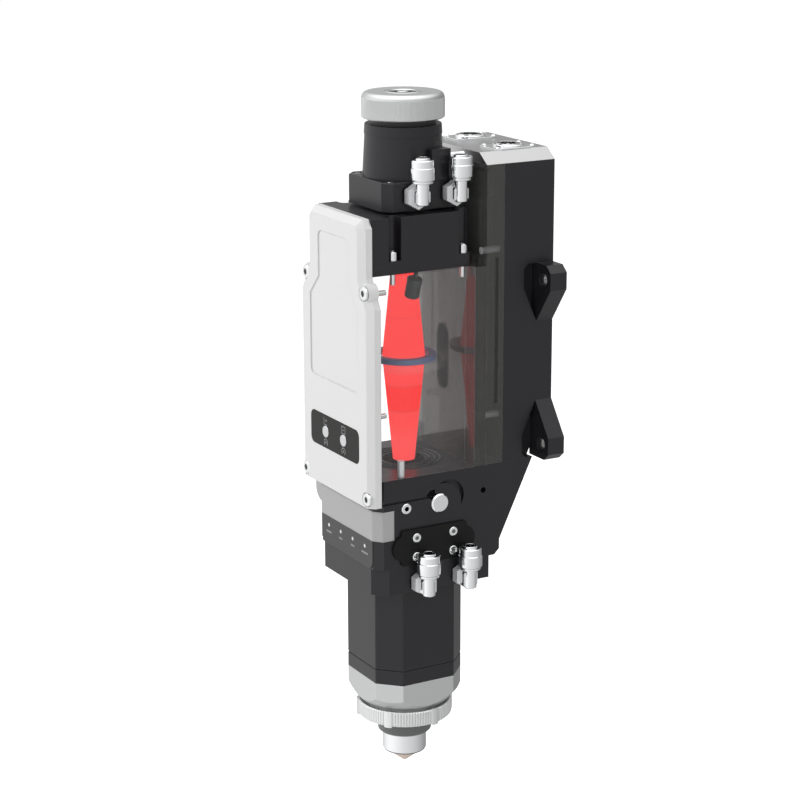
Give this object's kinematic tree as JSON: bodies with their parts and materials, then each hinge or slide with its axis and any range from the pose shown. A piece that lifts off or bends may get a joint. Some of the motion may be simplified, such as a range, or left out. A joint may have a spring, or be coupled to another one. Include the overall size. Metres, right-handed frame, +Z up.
{
  "type": "laser cutting head",
  "caption": "Fibre laser cutting head: copper nozzle, height sensor, clear optics chamber with a motor-driven focus lens, fibre socket on top.",
  "frame": {"origin": "the nozzle's tip, on the beam axis", "axes": "+Z up the beam axis to the fibre socket, +Y towards the machine's carriage (the mounting lugs), -Y the white cover, +X the side with the hose fittings"},
  "size_m": [0.106, 0.1264, 0.4113],
  "materials": {
    "copper": "polished copper",
    "plated_steel": "nickel plated",
    "ceramic": "dark grey technical ceramic",
    "silver_aluminium": "clear anodised, fine turned",
    "black_aluminium": "black anodised, satin",
    "black_rubber": "matt",
    "grey_trim": "satin",
    "strip_grey": "satin film",
    "light_window": "diffuse",
    "clear_plate": "clear, polished",
    "smoked_plate": "smoked, polished",
    "lens_glass": "coated",
    "blue_anodised": "blue anodised",
    "bright_steel": "ground",
    "motor_black": "matt black",
    "white_paint": "satin white",
    "panel_black": "glossy film",
    "button_silver": "plated",
    "board_green": "circuit board",
    "connector_black": "moulded"
  },
  "bodies": {
    "head": {"nozzle": "copper", "nozzle_holder": "plated_steel", "ceramic_ring": "ceramic", "sensor_adapter": "silver_aluminium", "seal_collar": "black_aluminium", "sensor_body": "black_aluminium", "lower_block": "black_aluminium", "trim_band": "grey_trim", "status_strip": "strip_grey", "status_lights": "light_window", "window_drawer": "black_aluminium", "protective_window": "lens_glass", "window_seal": "black_rubber", "drawer_plate": "black_aluminium", "drawer_plate_screws": "plated_steel", "gas_plug": "plated_steel", "side_screw": "plated_steel", "optics_chamber": "clear_plate", "chamber_back_wall": "smoked_plate", "guide_rods": "bright_steel", "focus_motor": "motor_black", "collimator_block": "black_aluminium", "collimator_screws": "plated_steel", "collimating_lens": "lens_glass", "lens_retainer": "black_aluminium", "carriage_stop": "black_rubber", "fibre_flange": "black_aluminium", "flange_screws": "bright_steel", "fibre_sleeve": "black_aluminium", "interlock_block": "black_aluminium", "interlock_pin": "plated_steel", "front_cover": "white_paint", "cover_screws": "plated_steel", "front_frame": "black_aluminium", "frame_screws": "bright_steel", "control_panel": "panel_black", "control_board": "board_green", "rear_front_frame": "smoked_plate", "rear_housing": "black_aluminium", "body_studs": "bright_steel", "top_plate": "silver_aluminium", "connector_shells": "plated_steel", "connector_inserts": "connector_black", "elbow_hexes": "plated_steel"},
    "lock_ring": {"lock_ring": "silver_aluminium"},
    "fibre_cap": {"fibre_cap": "silver_aluminium"},
    "lens_body": {"lens_carriage": "black_aluminium", "lens_ring": "blue_anodised", "focus_lens": "lens_glass"},
    "lead_screw": {"lead_screw": "bright_steel"},
    "button_left": {"button_left": "button_silver"},
    "button_right": {"button_right": "button_silver"},
    "upper_elbow_front": {"upper_elbow_front": "plated_steel"},
    "upper_elbow_front_release": {"upper_elbow_front_release": "plated_steel"},
    "upper_elbow_rear": {"upper_elbow_rear": "plated_steel"},
    "upper_elbow_rear_release": {"upper_elbow_rear_release": "plated_steel"},
    "lower_elbow_front": {"lower_elbow_front": "plated_steel"},
    "lower_elbow_front_release": {"lower_elbow_front_release": "plated_steel"},
    "lower_elbow_rear": {"lower_elbow_rear": "plated_steel"},
    "lower_elbow_rear_release": {"lower_elbow_rear_release": "plated_steel"}
  },
  "joints": [
    {"name": "lock_ring_turn", "type": "hinge", "parent": "head", "child": "lock_ring", "pos_m": [0, 0, 0.0375], "axis": [0, 0, 1], "range_deg": [0, 90]},
    {"name": "fibre_cap_turn", "type": "hinge", "parent": "head", "child": "fibre_cap", "pos_m": [0, 0, 0.404], "axis": [0, 0, 1], "range_deg": [0, 60]},
    {"name": "focus_slide", "type": "slide", "parent": "head", "child": "lens_body", "axis": [0, 0, 1], "range_m": [-0.01, 0.01]},
    {"name": "lead_screw_turn", "type": "hinge", "parent": "head", "child": "lead_screw", "pos_m": [0, 0.056, 0.27], "axis": [0, 0, 1], "range_deg": [-1800, 1800]},
    {"name": "button_left_press", "type": "slide", "parent": "head", "child": "button_left", "axis": [0, 1, 0], "range_m": [0, 0.0004], "stiffness_N_per_m": 1000, "springref_m": -0.0005},
    {"name": "button_right_press", "type": "slide", "parent": "head", "child": "button_right", "axis": [0, 1, 0], "range_m": [0, 0.0004], "stiffness_N_per_m": 1000, "springref_m": -0.0005},
    {"name": "upper_elbow_front_swivel", "type": "hinge", "parent": "head", "child": "upper_elbow_front", "pos_m": [0.0243, -0.007, 0.3555], "axis": [1, 0, 0], "range_deg": [-12, 90]},
    {"name": "upper_elbow_front_release_push", "type": "slide", "parent": "upper_elbow_front", "child": "upper_elbow_front_release", "axis": [0, 0, -1], "range_m": [0, 0.001], "stiffness_N_per_m": 1000, "springref_m": -0.001},
    {"name": "upper_elbow_rear_swivel", "type": "hinge", "parent": "head", "child": "upper_elbow_rear", "pos_m": [0.0243, 0.018, 0.3555], "axis": [1, 0, 0], "range_deg": [-20, 12]},
    {"name": "upper_elbow_rear_release_push", "type": "slide", "parent": "upper_elbow_rear", "child": "upper_elbow_rear_release", "axis": [0, 0, -1], "range_m": [0, 0.001], "stiffness_N_per_m": 1000, "springref_m": -0.001},
    {"name": "lower_elbow_front_swivel", "type": "hinge", "parent": "head", "child": "lower_elbow_front", "pos_m": [0.0369, -0.01, 0.1295], "axis": [1, 0, 0], "range_deg": [-12, 90]},
    {"name": "lower_elbow_front_release_push", "type": "slide", "parent": "lower_elbow_front", "child": "lower_elbow_front_release", "axis": [0, 0, -1], "range_m": [0, 0.001], "stiffness_N_per_m": 1000, "springref_m": -0.001},
    {"name": "lower_elbow_rear_swivel", "type": "hinge", "parent": "head", "child": "lower_elbow_rear", "pos_m": [0.0369, 0.018, 0.1295], "axis": [1, 0, 0], "range_deg": [-90, 12]},
    {"name": "lower_elbow_rear_release_push", "type": "slide", "parent": "lower_elbow_rear", "child": "lower_elbow_rear_release", "axis": [0, 0, -1], "range_m": [0, 0.001], "stiffness_N_per_m": 1000, "springref_m": -0.001}
  ],
  "couplings": [
    {"joint": "lead_screw_turn", "follows": "focus_slide", "rad_per_m": -3141.6}
  ]
}
